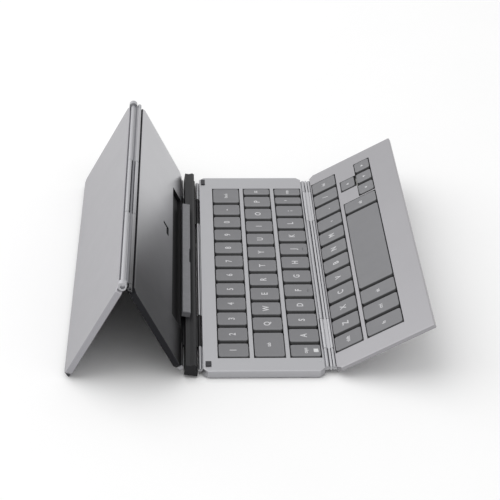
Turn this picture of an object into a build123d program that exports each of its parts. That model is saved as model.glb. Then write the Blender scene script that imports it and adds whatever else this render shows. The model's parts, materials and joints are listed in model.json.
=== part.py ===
"""Folding keyboard: two key panels, a spine with a phone rest, and a two-part stand.

Millimetres, +Z up. Y runs along the key rows, from the tab key end to the arrow key end.
X runs from the stand to the front edge. The object rests on Z = 0, its box centred on X and Y.
Each panel is drawn lying flat in its own frame, with its mid-plane on Z = 0, and is then
turned about the hinge pin that carries it.
"""
import os
from math import asin, atan2, cos, degrees, hypot, radians, sin

from build123d import *

# ---------------------------------------------------------------- overall sizes
length = 210.0              # all panels, along Y
main_width = 62.0           # main key panel, along X
front_reach = 55.9          # front panel, hinge pin to free edge
stand_pitch = 54.5          # spine pin to ridge pin of the stand panel
cover_reach = 61.2          # ridge pin to free edge of the cover panel
panel_thickness = 4.2       # main and front key panels
stand_thickness = 3.4       # stand and cover panels
foot_height = 0.4           # rubber feet

# ---------------------------------------------------------------- fold angles at rest, degrees
spine_angle = 10.2          # spine above flat
stand_angle = 63.5          # stand panel above flat
ridge_angle = 19.9          # ridge link above flat
front_angle = 29.5          # front panel above flat

# ---------------------------------------------------------------- shells
deck_skin = 1.0             # top skin of the key panels
floor_skin = 0.7            # bottom skin of the key panels
stand_skin = 0.9            # both skins of the stand and cover panels
shell_wall = 1.2            # rim of every shell
corner_cut = 2.6            # cut across the panel corners, seen from above
free_cut = 0.6              # the same at the front panel's free corners
edge_round = 0.45           # rounded outer edges
link_rim = 0.8              # rim of the main panel beside the front link
front_rim = 0.7             # rim of the front panel beside the front link
thin_edge_run = 4.2         # the front panel is thin at its free edges: its bottom slopes up
thin_rim = 4.6              # to them from this far in, and is solid for this far

# ---------------------------------------------------------------- hinges
pin_clearance = 0.04        # radial, every hinge bore
knuckle_gap = 0.3           # between neighbouring knuckles, along Y
sweep_gap = 0.3             # between the spine and the edge of the stand panel
spine_edge_gap = 0.25       # from each barrel to the edge of its panel
link_edge_gap = 0.2
front_edge_gap = 0.1
stand_edge_gap = 0.35
leaf_thickness = 0.6
leaf_depth = 4.0            # how far a hinge leaf reaches into its panel
leaf_start = 0.2            # rim left outside a leaf
leaf_cover = 0.1            # rim left behind a leaf that stays inside the rim
leaf_end_margin = 4.0       # from the last knuckle to the panel's end
spine_pitch = 10.16         # between the two pins of the spine
spine_barrel = 0.95         # barrel radius, main panel to spine
spine_pin = 0.5             # pin radius, main panel to spine
stand_barrel = 1.4          # barrel radius, spine to stand panel
stand_pin = 0.7
ridge_pitch = 3.8           # between the two pins of the ridge link
ridge_barrel = 1.15
ridge_pin = 0.55
ridge_ear = 2.3             # radius of the round ears at both ends of the ridge
ear_length = 3.5
ear_recess_radius = 1.2     # round recess in the end of each ear
ear_recess_depth = 1.2
link_pitch = 3.6            # between the two pins of the front link
link_barrel = 1.1
link_pin = 0.5
link_pin_rise = 1.0         # these pins lie above the panels' mid-plane
link_bar = 1.1              # width of the bar between the front link's barrels
link_web = 1.3              # height of the webs from that bar to the barrels
ridge_bar = 0.9             # width of the bar between the ridge link's barrels
ridge_web = 1.4
link_breaks = (-84.0, -56.0, 51.0, 87.0)
spine_breaks = (-80.0, -50.0, 50.0, 80.0)
ridge_middle = 30.0         # half length of the middle knuckle on the ridge

# ---------------------------------------------------------------- spine
spine_lower = 1.6           # spine body below its pin plane
spine_crest = 5.0           # highest line of the spine body, above its pin plane
spine_shelf = 4.1           # shelf under the phone rest bar
spine_crest_inset = 2.7     # main-panel pin to the spine's inner face
spine_toe = (1.3, 0.3)      # lowest edge of that face, out from the pin and below it
spine_lip = 0.8             # where the face turns upright, above the pin
spine_web = 1.3             # height of the webs to the barrels
spine_end_gap = 0.5         # the spine is this much shorter than the panels at each end
crest_bevel = 1.2
shelf_end = 5.9             # main-panel pin to the end of the shelf
bar_end_margin = 45.5       # from the panel ends to the phone rest bar, before its offset
bar_width = 4.4
bar_height = 3.1
bar_offset = 0.5            # the bar's middle, along Y
bar_round = 0.5
notch_length = 15.0
notch_depth = 0.6

# ---------------------------------------------------------------- pocket of the stand panel
pocket_room_low = 1.2       # between the folded-in rest bar and the pocket's lower edge
pocket_room_high = 6.0      # and its upper edge
pocket_room_end = 10.5      # and its ends
pocket_room_floor = 0.26    # and its floor
pocket_margin = 1.6         # solid strip of the stand panel round its pocket
liner_wall = 0.3
catch_place = (19.4, 12.0)  # L-shaped recess: from the spine pin to its stem, and Y of its far end
catch_stem = 9.0            # length of the stem, along Y
catch_foot = 6.0            # from the stem's lower side to the end of the foot
catch_width = 2.6
catch_depth = 0.6

# ---------------------------------------------------------------- keys
row_one_start = 8.0         # spine edge of the main panel to the first key row
row_gap = 2.6               # between the key rows of the main panel
near_border = 12.0          # tab key end of the main panel to its first key
far_border = 13.0           # from its last key, with the key's gap, to the other end
backspace_pitch = 20.0
narrow_pitch = 10.0         # last key of row two
end_pitch = 10.75           # last two keys of row three
front_near_border = 14.5    # the same borders of the front panel
front_far_border = 10.5
front_row_gap = 2.5
row_four_depth = 15.7
blank_border = 9.35         # between the last rail and the front panel's solid free edge
modifier_pitch = 15.5
after_space_pitch = 14.5
arrow_pitch = 13.7
arrow_gap = 1.1             # between the upper and the lower arrow key
arrow_extra = 0.6           # by which the lower arrow keys are deeper than the upper one
key_gap = 1.4               # between neighbouring keys of a row
slot_gap = 0.25             # between a key and the edge of its slot
slot_rim_gap = 0.05         # between an outermost slot and the rim below the deck
key_proud = 0.35            # key tops above the deck
key_height = 1.9
key_skin = 0.9
key_wall = 0.9
key_corner = 1.2
key_edge = 0.4
key_travel = 1.0
key_stop_gap = 0.05         # left under a pressed key's plunger
plunger_radius = 1.2
window_size = (2.4, 3.0)    # light window in the caps key, X and Y
window_thickness = 0.3
window_inset = 1.4
wire_place = 4.0            # from the middle of the space bar to its wire
wire_radius = 0.35
wire_end_margin = 10.75     # from the ends of the space bar to its wire

# ---------------------------------------------------------------- inside the key panels
board_thickness = 0.5
sheet_thickness = 0.2
dome_radius = 2.6
dome_bore = 1.6
dome_height = 0.9
guide_rail = 1.0
guide_bar = 0.5
inner_margin = 0.3          # between a shell's rim and what lies inside it
board_end_margin = 9.0      # from the panel ends to the boards
chip_size = 3.6
chip_height = 0.5
chip_places = (-28.0, -8.0, 14.0)
battery_length = 92.0
battery_thickness = 2.4
battery_clearance = 0.4
battery_round = 0.6
socket_width = 7.5
socket_height = 2.4
socket_depth = 5.3
socket_wall = 0.3
socket_inset = 0.1          # its mouth lies this far inside the panel's end
socket_place = 41.0
tongue_thickness = 0.5
tongue_inset = 1.0          # from the socket's walls to its tongue
light_radius = 0.6
light_inset = 2.0           # from the light to the panel's edge on the front link side
light_gap = 3.0             # from the light to the caps key
light_height = 1.6
light_proud = 0.05
ribbon_width = 12.0
ribbon_thickness = 0.3
ribbon_place = 5.0

# ---------------------------------------------------------------- fasteners, feet, pads, magnets
screw_head = 1.2
screw_head_height = 0.45
screw_shank = 0.6
screw_boss = 1.7
screw_clearance = 0.05
screw_tip_gap = 0.1         # between a screw's tip and the skin above it
screw_end_margin = 6.0      # from the panel ends to the screws
main_screw_inset = 5.0      # from both long edges of the main panel
main_screw_middle = 24.0
front_screw_start = 6.5     # from the front hinge pin
front_screw_middle = 28.0
front_screw_inset = 5.9     # from the free edge
stand_screw_start = 22.0    # from the spine pin
stand_screw_inset = 7.5     # from the ridge pin
foot_size = (8.0, 14.0)
foot_end_margin = 13.0
foot_inset = 3.0
front_foot_inset = 5.0
bumper_near_place = (1.5, 4.5)      # in from the spine edge and from the tab key end
bumper_near_size = (3.0, 4.0)
bumper_far_place = (1.0, 3.0)       # in from the spine edge and from the other end
bumper_far_size = (2.5, 6.0)
bumper_height = 0.5
magnet_radius = 3.5
magnet_thickness = 1.2
magnet_end_margin = 27.0    # from the panel ends to the magnets
foot_strip_width = 1.3
foot_strip_toe = 0.4        # height of the strip's blunt lower edge

# ---------------------------------------------------------------- worked out
half_length = length / 2
bar_length = length - 2 * bar_end_margin
half_panel = panel_thickness / 2
half_stand = stand_thickness / 2
mid_height = foot_height + half_panel
board_floor = floor_skin - half_panel
board_top = board_floor + board_thickness
sheet_top = board_top + sheet_thickness
deck_underside = half_panel - deck_skin
key_top = half_panel + key_proud
key_bottom = key_top - key_height
plunger_bottom = sheet_top + key_travel + key_stop_gap
spine_pin_out = spine_barrel + spine_edge_gap
link_pin_out = link_barrel + link_edge_gap
front_edge = link_barrel + front_edge_gap
stand_edge = stand_barrel + stand_edge_gap
ridge_edge = ridge_barrel + stand_edge_gap
leaf_end = half_length - corner_cut
main_hollow = (shell_wall, main_width - link_rim)
front_hollow = (front_edge + front_rim, front_reach - thin_rim)
key_depth = (main_hollow[1] - slot_rim_gap - slot_gap - row_one_start - 2 * row_gap) / 3
row_pitch = key_depth + row_gap
row_four_start = front_hollow[0] + slot_rim_gap + slot_gap
row_five_start = row_four_start + row_four_depth + front_row_gap
last_rail = front_hollow[1] - blank_border - guide_rail / 2
row_five_depth = last_rail - guide_rail / 2 - slot_gap - row_five_start
arrow_upper_depth = (row_five_depth - arrow_gap - arrow_extra) / 2
pocket_low = spine_shelf - pocket_room_low
pocket_high = spine_shelf + bar_height + pocket_room_high
pocket_length = bar_length + 2 * pocket_room_end
pocket_depth = shelf_end + bar_width - spine_pitch + half_stand + pocket_room_floor + liner_wall


def step_along(point, angle, distance):
    """The point at a distance from another, at an angle above the -X direction."""
    return (point[0] - distance * cos(radians(angle)), point[1] + distance * sin(radians(angle)))


# Hinge pins as (X, Z), before the object is centred.
main_spine_pin = (-spine_pin_out, mid_height)
spine_stand_pin = step_along(main_spine_pin, spine_angle, spine_pitch)
stand_ridge_pin = step_along(spine_stand_pin, stand_angle, stand_pitch)
ridge_cover_pin = step_along(stand_ridge_pin, ridge_angle, ridge_pitch)
main_link_pin = (main_width + link_pin_out, mid_height + link_pin_rise)
link_front_pin = (main_link_pin[0] + link_pitch, main_link_pin[1])
# The cover leans so that the lower corner of its foot strip meets the ground.
cover_lean = asin(ridge_cover_pin[1] / hypot(cover_reach, half_stand))
cover_angle = degrees(cover_lean - atan2(half_stand, cover_reach))


def turned(pin, angle):
    """The place of a body that is turned about a pin; positive lifts the -X side."""
    return Pos(pin[0], 0, pin[1]) * Rot(0, angle, 0)


places = {
    "main_panel": Pos(0, 0, mid_height),
    "front_link": turned(main_link_pin, 0),
    "front_panel": turned(link_front_pin, -front_angle) * Pos(0, 0, -link_pin_rise),
    "spine": turned(main_spine_pin, spine_angle),
    "stand_panel": turned(spine_stand_pin, stand_angle),
    "ridge_link": turned(stand_ridge_pin, ridge_angle),
    "cover_panel": turned(ridge_cover_pin, -cover_angle),
}
nodes = {}


def add(name, body, shape):
    """Keep a piece, moved from its body's frame to the object's."""
    nodes[name] = places[body] * shape


# ---------------------------------------------------------------- shapes used again and again
def block(x_span, y_span, z_span):
    """A box between pairs of coordinates."""
    sizes = [high - low for low, high in (x_span, y_span, z_span)]
    middle = [(low + high) / 2 for low, high in (x_span, y_span, z_span)]
    return Pos(*middle) * Box(*sizes)


def rod(radius, y_span, pin=(0.0, 0.0)):
    """A cylinder along Y."""
    middle = (y_span[0] + y_span[1]) / 2
    return Pos(pin[0], middle, pin[1]) * Rot(90, 0, 0) * Cylinder(radius, y_span[1] - y_span[0])


def post(radius, place, z_span):
    """A cylinder along Z."""
    middle = (z_span[0] + z_span[1]) / 2
    return Pos(place[0], place[1], middle) * Cylinder(radius, z_span[1] - z_span[0])


def prism(points, y_span):
    """A section in X and Z, drawn along Y."""
    section = make_face(Polyline(*[(x, 0, z) for x, z in points], close=True))
    return Pos(0, y_span[0], 0) * extrude(section, amount=y_span[1] - y_span[0], dir=(0, 1, 0))


def fuse(shapes):
    """All the shapes joined into one."""
    joined = shapes[0]
    for shape in shapes[1:]:
        joined = joined + shape
    return joined


def half_shell(x_span, thickness, skin, hollow=None, end_rim=shell_wall, high_cut=corner_cut):
    """A tray that opens downwards: rim on Z = 0, outer face at the thickness."""
    outer = block(x_span, (-half_length, half_length), (0, thickness))
    uprights = outer.edges().filter_by(Axis.Z).sort_by(Axis.X)
    outer = chamfer(uprights[:2], corner_cut)
    uprights = outer.edges().filter_by(Axis.Z).sort_by(Axis.X)
    outer = chamfer(uprights[-2:], high_cut)
    outer = fillet(outer.edges().group_by(Axis.Z)[-1], edge_round)
    hollow_x = hollow or (x_span[0] + shell_wall, x_span[1] - shell_wall)
    hollow_y = (end_rim - half_length, half_length - end_rim)
    inner = block(hollow_x, hollow_y, (0, thickness - skin))
    inner = chamfer(inner.edges().filter_by(Axis.Z), corner_cut)
    return outer - inner


def flipped(shape):
    """Turned over about the X axis."""
    return Rot(180, 0, 0) * shape


def spans_between(breaks):
    """Knuckle spans along Y, given in turn to a panel and to the link beside it."""
    end = half_length - leaf_end_margin
    cuts = [-end, *breaks, end]
    pairs = list(zip(cuts[:-1], cuts[1:]))
    trim = knuckle_gap / 2
    panel = [(low + trim, high - trim) for low, high in pairs[0::2]]
    link = [(low + trim, high - trim) for low, high in pairs[1::2]]
    return panel, link


def hinge_leaf(pin, barrel, pin_radius, spans, edge, inward, depth):
    """A leaf plate held in a panel's rim, with knuckles round a pin outside the panel.

    The panel's edge is at X = edge, and inward is +1 or -1, the way from the edge into it.
    """
    half_leaf = leaf_thickness / 2
    root = edge + inward * leaf_start
    tip = edge + inward * depth
    pieces = [block(sorted((root, tip)), (-leaf_end, leaf_end), (-half_leaf, half_leaf))]
    for span in spans:
        tongue_x = sorted((pin[0], root + inward * leaf_start))
        pieces.append(block(tongue_x, span, (-half_leaf, pin[1] + half_leaf)))
        pieces.append(rod(barrel, span, pin))
    return fuse(pieces) - rod(pin_radius + pin_clearance, (-half_length, half_length), pin)


# ---------------------------------------------------------------- keys and their slots
def row_of_keys(start, pitches, x_low, depth):
    """The keys of one row as pairs of spans, in X and in Y."""
    keys = []
    for pitch in pitches:
        keys.append(((x_low, x_low + depth), (start, start + pitch - key_gap)))
        start += pitch
    return keys


def row_x(row):
    """The low X of a row on the main panel."""
    return row_one_start + row * row_pitch


main_start = near_border - half_length
row_length = length - near_border - far_border
key_pitch = (row_length - backspace_pitch) / 11
tab_pitch = row_length - 10 * key_pitch - narrow_pitch
caps_pitch = row_length - 10 * key_pitch - 2 * end_pitch
row_one = row_of_keys(main_start, [key_pitch] * 11 + [backspace_pitch], row_x(0), key_depth)
row_two = row_of_keys(main_start, [tab_pitch] + [key_pitch] * 10 + [narrow_pitch], row_x(1), key_depth)
row_three = row_of_keys(main_start, [caps_pitch] + [key_pitch] * 10 + [end_pitch] * 2, row_x(2), key_depth)
main_rows = [row_one, row_two, row_three]

front_start = front_near_border - half_length
front_row_length = length - front_near_border - front_far_border
row_four = row_of_keys(front_start, [front_row_length / 12] * 12, row_four_start, row_four_depth)
space_pitch = front_row_length - 3 * modifier_pitch - after_space_pitch - 3 * arrow_pitch
row_five_pitches = [modifier_pitch] * 3 + [space_pitch, after_space_pitch]
row_five = row_of_keys(front_start, row_five_pitches, row_five_start, row_five_depth)
arrow_start = front_start + sum(row_five_pitches)
lower_arrow_x = row_five_start + arrow_upper_depth + arrow_gap
lower_arrow_depth = row_five_depth - arrow_upper_depth - arrow_gap
arrows = row_of_keys(arrow_start, [arrow_pitch] * 3, lower_arrow_x, lower_arrow_depth)
upper_arrow = ((row_five_start, row_five_start + arrow_upper_depth), arrows[1][1])


def slot_for(keys):
    """The opening in a deck that holds a run of keys."""
    x_low = min(key[0][0] for key in keys) - slot_gap
    x_high = max(key[0][1] for key in keys) + slot_gap
    y_low = min(key[1][0] for key in keys) - slot_gap
    y_high = max(key[1][1] for key in keys) + slot_gap
    return block((x_low, x_high), (y_low, y_high), (0, panel_thickness))


def middle_of(key):
    """The middle of a key, seen from above."""
    return tuple((low + high) / 2 for low, high in key)


def key_cap(key):
    """A hollow key with rounded edges and a plunger."""
    (x_low, x_high), (y_low, y_high) = key
    cap = block((x_low, x_high), (y_low, y_high), (key_bottom, key_top))
    cap = fillet(cap.edges().filter_by(Axis.Z), key_corner)
    cap = fillet(cap.edges().group_by(Axis.Z)[-1], key_edge)
    inner_x = (x_low + key_wall, x_high - key_wall)
    inner_y = (y_low + key_wall, y_high - key_wall)
    cap -= block(inner_x, inner_y, (key_bottom, key_top - key_skin))
    return cap + post(plunger_radius, middle_of(key), (plunger_bottom, key_top - key_skin))


def key_group(keys):
    """Several keys of a row as separate solids."""
    return Compound(children=[key_cap(key) for key in keys])


def dome_sheet(x_span, y_end, keys):
    """A rubber sheet with a hollow dome under each key."""
    sheet = block(x_span, (-y_end, y_end), (board_top, sheet_top))
    top = sheet_top + dome_height
    domes = [post(dome_radius, middle_of(key), (sheet_top, top)) for key in keys]
    bores = [post(dome_bore, middle_of(key), (sheet_top, top)) for key in keys]
    return (sheet + domes) - bores


def guide_bars(row, x_span):
    """A thin bar in each gap between the keys of a row."""
    bars = []
    for before, after in zip(row[:-1], row[1:]):
        middle = (before[1][1] + after[1][0]) / 2
        bar_y = (middle - guide_bar / 2, middle + guide_bar / 2)
        bars.append(block(x_span, bar_y, (sheet_top, deck_underside)))
    return bars


def guide_lattice(rows, rail_places, y_end, tail):
    """Rails between the key rows, joined by the bars between keys."""
    z_span = (sheet_top, deck_underside)
    rails = [block((x - guide_rail / 2, x + guide_rail / 2), (-y_end, y_end), z_span) for x in rail_places]
    bars = []
    for row, x_span in zip(rows, zip(rail_places, [*rail_places[1:], tail])):
        bars += guide_bars(row, x_span)
    return rails[0] + rails[1:] + bars


# ---------------------------------------------------------------- fasteners
def screw_spots(x_places):
    """Screw places along both ends of a panel."""
    end = half_length - screw_end_margin
    return [(x, y) for x in x_places for y in (-end, end)]


def screws(spots, half, top):
    """Screws put in from below, one solid each."""
    solids = []
    for spot in spots:
        head = post(screw_head, spot, (-half, screw_head_height - half))
        solids.append(head + post(screw_shank, spot, (screw_head_height - half, top)))
    return Compound(children=solids)


def bosses(spots, z_span):
    """Posts that the screws pass through."""
    return [post(screw_boss, spot, z_span) for spot in spots]


def screw_holes(spots, half, top):
    """Room for the screws in what they hold."""
    heads = [post(screw_head + screw_clearance, spot, (-half, screw_head_height - half)) for spot in spots]
    shanks = [post(screw_shank + screw_clearance, spot, (screw_head_height - half, top)) for spot in spots]
    return heads + shanks


# ---------------------------------------------------------------- main panel
front_panels, front_links = spans_between(link_breaks)
spine_panels, spine_links = spans_between(spine_breaks)
ear_edge = half_length - ear_length
ridge_panels = [(-half_length, -ear_edge), (-ridge_middle, ridge_middle), (ear_edge, half_length)]
ridge_links = [(knuckle_gap - ear_edge, -ridge_middle - knuckle_gap),
               (ridge_middle + knuckle_gap, ear_edge - knuckle_gap)]

main_span = (0, main_width)
main_spots = screw_spots((main_screw_inset, main_screw_middle, main_width - main_screw_inset))
screw_top = deck_underside - screw_tip_gap
main_spine_leaf = hinge_leaf((-spine_pin_out, 0), spine_barrel, spine_pin, spine_panels, 0, 1, leaf_depth)
link_pin_here = (main_width + link_pin_out, link_pin_rise)
rim_depth = link_rim - leaf_cover
main_front_leaf = hinge_leaf(link_pin_here, link_barrel, link_pin, front_panels, main_width, -1, rim_depth)
light_place = (main_width - light_inset, main_start - light_gap)
socket_y = (half_length - socket_depth - socket_inset, half_length - socket_inset)
socket_x = (socket_place - socket_width / 2, socket_place + socket_width / 2)
socket_z = (deck_underside - socket_height, deck_underside)
socket_room = block(socket_x, (socket_y[0], half_length), socket_z)

deck = half_shell(main_span, half_panel, deck_skin, main_hollow)
deck += bosses(main_spots, (0, deck_underside))
deck -= [slot_for(row) for row in main_rows]
deck -= screw_holes(main_spots, half_panel, screw_top)
deck -= post(light_radius + pin_clearance, light_place, (0, panel_thickness))
deck = deck - socket_room - main_spine_leaf - main_front_leaf
add("main_deck_frame", "main_panel", deck)

cover = flipped(half_shell(main_span, half_panel, floor_skin, main_hollow))
cover += bosses(main_spots, (board_floor, 0))
cover -= screw_holes(main_spots, half_panel, screw_top)
cover = cover - socket_room - main_spine_leaf - main_front_leaf
add("main_bottom_cover", "main_panel", cover)
add("main_spine_leaf", "main_panel", main_spine_leaf)
add("main_front_leaf", "main_panel", main_front_leaf)
add("main_screws", "main_panel", screws(main_spots, half_panel, screw_top))

main_keys = row_one + row_two + row_three
board_end = half_length - board_end_margin
board_x = (main_hollow[0] + inner_margin, main_hollow[1] - inner_margin)
board = block(board_x, (-board_end, board_end), (board_floor, board_top))
board += block(socket_x, (board_end, socket_y[0]), (board_floor, board_top))
chip_x = (board_x[0] + inner_margin, board_x[0] + inner_margin + chip_size)
chips = [block(chip_x, (y, y + chip_size), (board_top, board_top + chip_height)) for y in chip_places]
add("main_circuit_board", "main_panel", Compound(children=[board, *chips]))

main_rails = [row_x(row) - row_gap / 2 for row in range(3)]
guide_end = half_length - near_border + 2 * guide_rail
sheet_x = (main_rails[0] - guide_rail, board_x[1])
add("main_dome_sheet", "main_panel", dome_sheet(sheet_x, board_end, main_keys))
guide = guide_lattice(main_rows, main_rails, guide_end, row_three[0][0][1])
add("main_key_guide", "main_panel", guide)

socket = block(socket_x, socket_y, socket_z)
mouth_x = (socket_x[0] + socket_wall, socket_x[1] - socket_wall)
mouth_z = (socket_z[0] + socket_wall, socket_z[1] - socket_wall)
socket -= block(mouth_x, (socket_y[0] + 2 * socket_wall, half_length), mouth_z)
tongue_x = (mouth_x[0] + tongue_inset, mouth_x[1] - tongue_inset)
tongue_middle = (mouth_z[0] + mouth_z[1]) / 2
tongue_z = (tongue_middle - tongue_thickness / 2, tongue_middle + tongue_thickness / 2)
socket += block(tongue_x, (socket_y[0] + socket_wall, socket_y[1] - tongue_inset), tongue_z)
add("charging_socket", "main_panel", socket)
light_top = half_panel + light_proud
add("status_light", "main_panel", post(light_radius, light_place, (light_top - light_height, light_top)))

bumpers = []
for place, size, side in ((bumper_near_place, bumper_near_size, -1), (bumper_far_place, bumper_far_size, 1)):
    bumper_y = sorted((side * (half_length - place[1]), side * (half_length - place[1] - size[1])))
    bumpers.append(block((place[0], place[0] + size[0]), bumper_y, (half_panel, half_panel + bumper_height)))
add("main_bumpers", "main_panel", Compound(children=bumpers))


def feet(x_edges, high_inset=foot_inset):
    """Rubber pads under a key panel, in from the given edges."""
    low_edge, high_edge = x_edges
    y_out = half_length - foot_end_margin
    pads = []
    for x_low in (low_edge + foot_inset, high_edge - high_inset - foot_size[0]):
        for y_low in (-y_out, y_out - foot_size[1]):
            pad = block((x_low, x_low + foot_size[0]), (y_low, y_low + foot_size[1]),
                        (-half_panel - foot_height, -half_panel))
            pads.append(fillet(pad.edges().filter_by(Axis.Z), foot_size[0] / 4))
    return Compound(children=pads)


add("main_feet", "main_panel", feet(main_span))

add("row_one_keys", "main_panel", key_group(row_one[:-1]))
add("backspace_key", "main_panel", key_cap(row_one[-1]))
add("tab_key", "main_panel", key_cap(row_two[0]))
add("row_two_keys", "main_panel", key_group(row_two[1:]))
add("row_three_keys", "main_panel", key_group(row_three[1:]))
caps_x, caps_y = row_three[0]
window_x = (caps_x[1] - window_inset - window_size[0], caps_x[1] - window_inset)
caps_middle = middle_of(row_three[0])[1]
window_y = (caps_middle - window_size[1] / 2, caps_middle + window_size[1] / 2)
window = block(window_x, window_y, (key_top - window_thickness, key_top))
add("caps_key", "main_panel", key_cap(row_three[0]) - window)
add("caps_key_window", "main_panel", window)

# ---------------------------------------------------------------- front link
pins_end = half_length - leaf_end_margin
bar_middle = link_pitch / 2
bar_x = (bar_middle - link_bar / 2, bar_middle + link_bar / 2)
link = block(bar_x, (-pins_end, pins_end), (-link_barrel, link_barrel))
for span in front_links:
    for pin_x in (0, link_pitch):
        link += rod(link_barrel, span, (pin_x, 0))
        link += block(sorted((pin_x, bar_middle)), span, (-link_web / 2, link_web / 2))
for pin_x in (0, link_pitch):
    link -= rod(link_pin + pin_clearance, (-half_length, half_length), (pin_x, 0))
ribbon_y = (ribbon_place, ribbon_place + ribbon_width)
ribbon = block(bar_x, ribbon_y, (-ribbon_thickness / 2, ribbon_thickness / 2))
add("front_link", "front_link", link - ribbon)
add("front_ribbon_cable", "front_link", ribbon)
link_rods = [rod(link_pin, (-pins_end, pins_end), (pin_x, 0)) for pin_x in (0, link_pitch)]
add("front_link_pins", "front_link", Compound(children=link_rods))

# ---------------------------------------------------------------- front panel
front_span = (front_edge, front_reach)
front_spots = screw_spots((front_screw_start, front_screw_middle, front_reach - front_screw_inset))
rim_depth = front_rim - leaf_cover
front_leaf = hinge_leaf((0, link_pin_rise), link_barrel, link_pin, front_panels, front_edge, 1, rim_depth)
thin_shape = (front_hollow, thin_rim, free_cut)
front_deck = half_shell(front_span, half_panel, deck_skin, *thin_shape)
front_deck += bosses(front_spots, (0, deck_underside))
front_deck -= [slot_for(row_four), slot_for(row_five), slot_for(arrows), slot_for([upper_arrow, arrows[1]])]
front_deck -= screw_holes(front_spots, half_panel, screw_top)
add("front_deck_frame", "front_panel", front_deck - front_leaf)
front_cover = flipped(half_shell(front_span, half_panel, floor_skin, *thin_shape))
front_cover += bosses(front_spots, (board_floor, 0))
front_cover -= screw_holes(front_spots, half_panel, screw_top)
slope = [(0, 0), (-thin_edge_run, -half_panel), (-thin_edge_run, -panel_thickness), (0, -panel_thickness)]
free_edge_slope = Pos(front_reach, 0, 0) * prism(slope, (-length, length))
end_slope = Rot(0, 0, 90) * Pos(half_length, 0, 0) * prism(slope, (-length, length))
front_cover -= [free_edge_slope, end_slope, Rot(0, 0, 180) * end_slope]
add("front_bottom_cover", "front_panel", front_cover - front_leaf)
add("front_leaf", "front_panel", front_leaf)
add("front_screws", "front_panel", screws(front_spots, half_panel, screw_top))
add("front_feet", "front_panel", feet(front_span, front_foot_inset))

front_keys = row_four + row_five + arrows + [upper_arrow]
front_board_x = (front_hollow[0] + inner_margin, last_rail + guide_rail / 2)
front_board = block(front_board_x, (-board_end, board_end), (board_floor, board_top))
add("front_circuit_board", "front_panel", front_board)
add("front_dome_sheet", "front_panel", dome_sheet(front_board_x, board_end, front_keys))
middle_rail = row_five_start - front_row_gap / 2
row_four_bars = guide_bars(row_four, (row_four_start, middle_rail))
lattice = guide_lattice([row_five], [middle_rail, last_rail], guide_end, last_rail)
add("front_key_guide", "front_panel", lattice + row_four_bars)

border_x = (last_rail + guide_rail / 2, front_hollow[1])
battery_x = (border_x[0] + battery_clearance, border_x[1] - battery_clearance)
battery_z = (board_floor, board_floor + battery_thickness)
battery = block(battery_x, (-battery_length / 2, battery_length / 2), battery_z)
add("battery_cell", "front_panel", fillet(battery.edges().filter_by(Axis.Y), battery_round))


def magnets(x, z_low):
    """Two discs, one near each end of a panel; those of both panels meet when it is folded up."""
    y_out = half_length - magnet_end_margin
    z_span = (z_low, z_low + magnet_thickness)
    return Compound(children=[post(magnet_radius, (x, y), z_span) for y in (-y_out, y_out)])


front_magnet_x = (border_x[0] + border_x[1]) / 2
add("front_magnets", "front_panel", magnets(front_magnet_x, board_floor))

add("row_four_keys", "front_panel", key_group(row_four))
add("row_five_left_keys", "front_panel", key_group(row_five[:3]))
add("space_bar", "front_panel", key_cap(row_five[3]))
add("row_five_right_key", "front_panel", key_cap(row_five[4]))
add("arrow_left_key", "front_panel", key_cap(arrows[0]))
add("arrow_down_key", "front_panel", key_cap(arrows[1]))
add("arrow_right_key", "front_panel", key_cap(arrows[2]))
add("arrow_up_key", "front_panel", key_cap(upper_arrow))
space_middle = middle_of(row_five[3])
wire_x = space_middle[0] - wire_place
wire_z = key_top - key_skin - wire_radius
space_ends = row_five[3][1]
wire_y = (space_ends[0] + wire_end_margin, space_ends[1] - wire_end_margin)
wire = rod(wire_radius, wire_y, (wire_x, wire_z))
add("space_bar_wire", "front_panel", wire)

# ---------------------------------------------------------------- spine
spine_back = -spine_pitch + stand_edge + sweep_gap
spine_outline = [
    (-spine_toe[0], -spine_lower),
    (-spine_toe[0], -spine_toe[1]),
    (-spine_crest_inset, spine_lip),
    (-spine_crest_inset, spine_crest - crest_bevel / 2),
    (-spine_crest_inset - crest_bevel, spine_crest),
    (-shelf_end, spine_shelf),
    (spine_back, spine_shelf),
    (spine_back, -spine_lower),
]
spine_end = half_length - spine_end_gap
spine = prism(spine_outline, (-spine_end, spine_end))
for span in spine_links:
    spine += rod(spine_barrel, span)
    spine += block((-spine_crest_inset, 0), span, (-spine_web / 2, 0))
    spine += rod(stand_barrel, span, (-spine_pitch, 0))
    spine += block((-spine_pitch, spine_back + sweep_gap), span, (-stand_barrel, 0))
spine -= rod(spine_pin + pin_clearance, (-half_length, half_length))
spine -= rod(stand_pin + pin_clearance, (-half_length, half_length), (-spine_pitch, 0))
add("spine_body", "spine", spine)

rest_x = (-shelf_end - bar_width, -shelf_end)
rest_y = (bar_offset - bar_length / 2, bar_offset + bar_length / 2)
bar_top = spine_shelf + bar_height
rest_bar = block(rest_x, rest_y, (spine_shelf, bar_top))
rest_bar = fillet(rest_bar.edges().group_by(Axis.Z)[-1], bar_round)
notch_y = (bar_offset - notch_length / 2, bar_offset + notch_length / 2)
notch = block((-shelf_end - notch_depth, -shelf_end), notch_y, (spine_shelf, bar_top))
add("phone_rest_bar", "spine", rest_bar - notch)
pins_span = (-pins_end, pins_end)
spine_rods = [rod(spine_pin, pins_span), rod(stand_pin, pins_span, (-spine_pitch, 0))]
add("spine_pins", "spine", Compound(children=spine_rods))

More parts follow.
